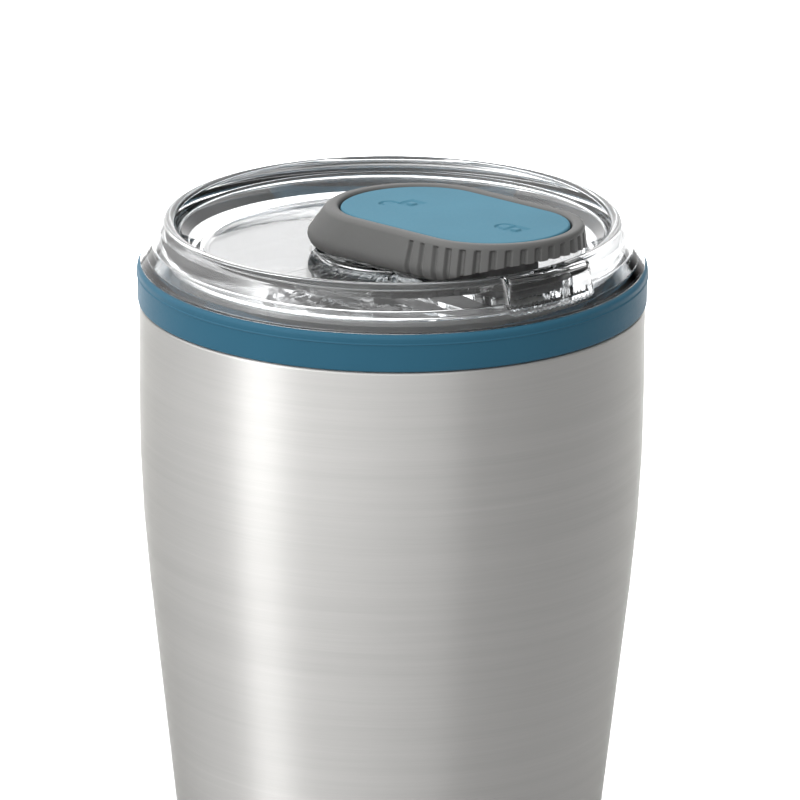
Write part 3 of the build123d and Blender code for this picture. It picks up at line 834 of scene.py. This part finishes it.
def grip_point(place, depth, inset):
    """Point of the grip's outside: it flares down to its widest place, then rounds in to its foot."""
    if depth < GRIP_WIDEST_H:
        share = depth / GRIP_WIDEST_H
    else:
        share = 1.0
        drop = min((depth - GRIP_WIDEST_H) / (GRIP_H - GRIP_WIDEST_H), 1.0)
        inset += FOOT_INSET * (1 - math.sqrt(max(0.0, 1 - drop * drop)))
    foot = oval(place, GRIP_HALF_W - inset, GRIP_REAR_U, GRIP_REAR_END - inset,
                OPENING_FRONT_U, GRIP_FRONT_END - inset)
    end = OPENING_END + LIP_W - inset
    top = oval(place, OPENING_HALF_W + LIP_W - inset, OPENING_REAR_U, end, OPENING_FRONT_U, end)
    return top[0] + (foot[0] - top[0]) * share, top[1] + (foot[1] - top[1]) * share


def groove_distance(place):
    """Distance in millimetres from the nearest grip groove."""
    u = oval(place, GRIP_HALF_W, GRIP_REAR_U, GRIP_REAR_END, OPENING_FRONT_U, GRIP_FRONT_END)[1]
    stretch, share = place
    if stretch == 1:
        return PLAIN
    if stretch == 3:
        from_nose = abs(180 * share - 90)
        nearest = round(from_nose / RIB_STEP_DEG - 0.5)
        nearest = min(max(nearest, 0), RIB_COUNT_NOSE - 1)
        return abs(from_nose - (nearest + 0.5) * RIB_STEP_DEG) * math.radians(RIB_NOSE_R)
    back = OPENING_FRONT_U - RIB_START_SIDE - u
    nearest = min(max(round(back / RIB_PITCH_SIDE), 0), RIB_COUNT_SIDE - 1)
    return abs(back - nearest * RIB_PITCH_SIDE)


def foot_depth(u):
    """Depth of the grip's foot below its top: the nose is raised clear of the rim."""
    if u <= NOSE_FOOT[0][0]:
        return GRIP_H
    a, b = NOSE_FOOT[:2] if u < NOSE_FOOT[1][0] else NOSE_FOOT[1:]
    height = a[1] + (b[1] - a[1]) * (u - a[0]) / (b[0] - a[0])
    return min(GRIP_H, (SLIDER_TOP_H + u * math.tan(TILT) - height) * math.cos(TILT))


def make_grip():
    """Grey grip: a hoop skinned from the foot up the grooved outside, over the lip and down the inside."""
    rings = []
    feet = [foot_depth(grip_point(place, GRIP_WIDEST_H, 0)[1]) for place in PLACES]

    def outside(depths, inset):
        ring = []
        for place, depth in zip(PLACES, depths):
            groove = 1 - smoothstep(*RIB_HALF_W, groove_distance(place))
            groove *= smoothstep(*RIB_TOP_H, depth) * RIB_DEPTH
            x, u = grip_point(place, depth, inset + groove)
            ring.append(on_slide(x, u, depth))
        return ring

    def inside(gap, depths):
        return [on_slide(*opening_point(place, gap), depth) for place, depth in zip(PLACES, depths)]

    wall_top = 1.6
    for share in (1.0, 0.985, 0.95, 0.9, 0.84, 0.78, 0.7, 0.6, 0.5, 0.4, 0.3):
        rings.append(outside([wall_top + (foot - wall_top) * share for foot in feet], 0))
    for depth in (wall_top, 1.45, 1.35, 1.25, 1.15, 1.05, 0.95, 0.85):
        rings.append(outside([depth] * len(PLACES), 0))
    for a in (0, 15, 30, 45, 60, 75, 90):
        sine, cosine = math.sin(math.radians(a)), math.cos(math.radians(a))
        depth = LIP_EDGE_R - LIP_EDGE_R * sine
        rings.append(outside([depth] * len(PLACES), LIP_EDGE_R - LIP_EDGE_R * cosine))
    for a in (90, 70, 50, 30, 10, 0):
        sine, cosine = math.sin(math.radians(a)), math.cos(math.radians(a))
        depth = LIP_INNER_R - LIP_INNER_R * sine
        rings.append(inside(-LIP_INNER_R + LIP_INNER_R * cosine, [depth] * len(PLACES)))
    rings.append(inside(0, [2.0] * len(PLACES)))
    rings.append(inside(0, [foot - 0.02 for foot in feet]))
    return stack("grip", rings, closed_ends=False, sharp_deg=50.0)


def groove_tool(path, width, depth):
    """Drafted cutter along an open path of (x, u) points on the pad's top."""
    rings = []
    for i, (x, u) in enumerate(path):
        before = path[max(i - 1, 0)]
        after = path[min(i + 1, len(path) - 1)]
        back = Vector((x - before[0], u - before[1]))
        ahead = Vector((after[0] - x, after[1] - u))
        back = back.normalized() if back.length > 0 else ahead.normalized()
        ahead = ahead.normalized() if ahead.length > 0 else back
        side = Vector((-(back + ahead).y, (back + ahead).x)).normalized()
        side /= max(0.3, side.dot(Vector((-back.y, back.x))))
        ring = []
        for offset, drop in ((-0.62, -0.15), (0.62, -0.15), (0.36, depth), (-0.36, depth)):
            reach = offset * width
            ring.append(on_slide(x + side.x * reach, u + side.y * reach, PAD_TOP_H + drop))
        rings.append(ring)
    return stack("mark", rings)


def drafted_block(name, x, u, half_w, half_l, levels):
    """Rectangular block on the pad, grown by a little at each of its two (depth, growth) levels."""
    rings = []
    for depth, grow in levels:
        w, l = half_w + grow, half_l + grow
        corners = ((1, -1), (-1, -1), (-1, 1), (1, 1))
        rings.append([on_slide(x + i * w, u + j * l, depth) for i, j in corners])
    return stack(name, rings)


def shackle(x, u, short_end):
    """Path of a padlock's bow from one end round to the other, as (x, u) points."""
    path = [(x + SHACKLE_R, u + 1.1)]
    for k in range(17):
        angle = math.radians(180 * k / 16)
        path.append((x + SHACKLE_R * math.cos(angle), u - SHACKLE_R * math.sin(angle)))
    path.append((x - SHACKLE_R, u + short_end))
    return path


def make_pad():
    """Blue soft pad with a rounded top edge and two sunk padlocks, open at the rear and closed in front."""
    places = PLACES[::2]
    rings = [[on_slide(*opening_point(p, PAD_SIDE_GAP, PAD_END_GAP), PAD_FOOT_H) for p in places]]
    for a in (0, 22.5, 45, 67.5, 90):
        sine, cosine = math.sin(math.radians(a)), math.cos(math.radians(a))
        gap = PAD_SIDE_GAP + PAD_EDGE_R - PAD_EDGE_R * cosine
        depth = PAD_TOP_H + PAD_EDGE_R - PAD_EDGE_R * sine
        rings.append([on_slide(*opening_point(p, gap, PAD_END_GAP), depth) for p in places])
    pad = stack("soft_pad", rings)
    for u, shift, short_end in ((OPEN_MARK_U, OPEN_SHACKLE_X, 0.5), (CLOSED_MARK_U, 0.0, 0.9)):
        cut(pad, drafted_block("recess", MARK_X, u, MARK_HALF_W, MARK_HALF_L,
                               ((PAD_TOP_H - 0.2, 0.4), (PAD_TOP_H + MARK_DEPTH, -0.1))))
        cut(pad, drafted_block("key", MARK_X, u, KEY_HALF_W, KEY_HALF_L,
                               ((PAD_TOP_H + 0.45, 0.06), (PAD_TOP_H + 0.02, -0.04))), "UNION")
        bow = shackle(MARK_X + shift, u - MARK_HALF_L - 1.2, short_end)
        cut(pad, groove_tool(bow, SHACKLE_LINE, SHACKLE_DEPTH))
    shade(pad, 35.0)
    return pad


# ---------------------------------------------------------------- build
place_camera()
studio()

# name, colour, roughness, grain and anisotropy for steel; then ranges of roughness for the others
steel = brushed_steel("brushed_steel", (0.44, 0.435, 0.425), 0.40, 0.06, 0.97)
liner = brushed_steel("satin_liner_steel", (0.56, 0.56, 0.55), 0.42, 0.04, 0.3)
clear = clear_plastic()
blue = silicone("blue_silicone", (0.0145, 0.069, 0.110), 0.45, 0.6, 1500.0, 0.12, 0.12)
pad_blue = silicone("blue_pad", (0.048, 0.134, 0.184), 0.55, 0.7, 1800.0, 0.12, 0.03)
grey = moulded("grey_plastic", (0.06, 0.06, 0.0585), 0.5, 0.65)
dark = moulded("dark_plastic", (0.07, 0.07, 0.07), 0.45, 0.6)
seal = silicone("seal_silicone", (0.2, 0.2, 0.2), 0.45, 0.6, 1500.0, 0.1)

dress(make_outer_shell(), steel, "vessel", "brushed_steel", "outer_shell")
dress(make_inner_liner(), liner, "vessel", "liner_steel", "inner_liner")
dress(make_base_cap(), steel, "vessel", "brushed_steel", "base_cap")
dress(make_lid(), clear, "lid", "clear_plastic", "lid_shell")
dress(make_gasket(), blue, "lid", "blue_silicone", "lid_gasket")
dress(make_grip(), grey, "slider", "grey_plastic", "slider_shell")
dress(make_pad(), pad_blue, "slider", "blue_pad", "slider_insert")

repaint("slider_carriage", dark)
repaint("sip_seal", seal)
repaint("vent_seal", seal)
repaint("outer_bottom", liner)
repaint("getter_clip", liner)
repaint("getter", moulded("getter_metal", (0.2, 0.2, 0.2), 0.6, 0.8))
repaint("vacuum_seal_bead", moulded("sealing_glass", (0.12, 0.14, 0.13), 0.1, 0.2))
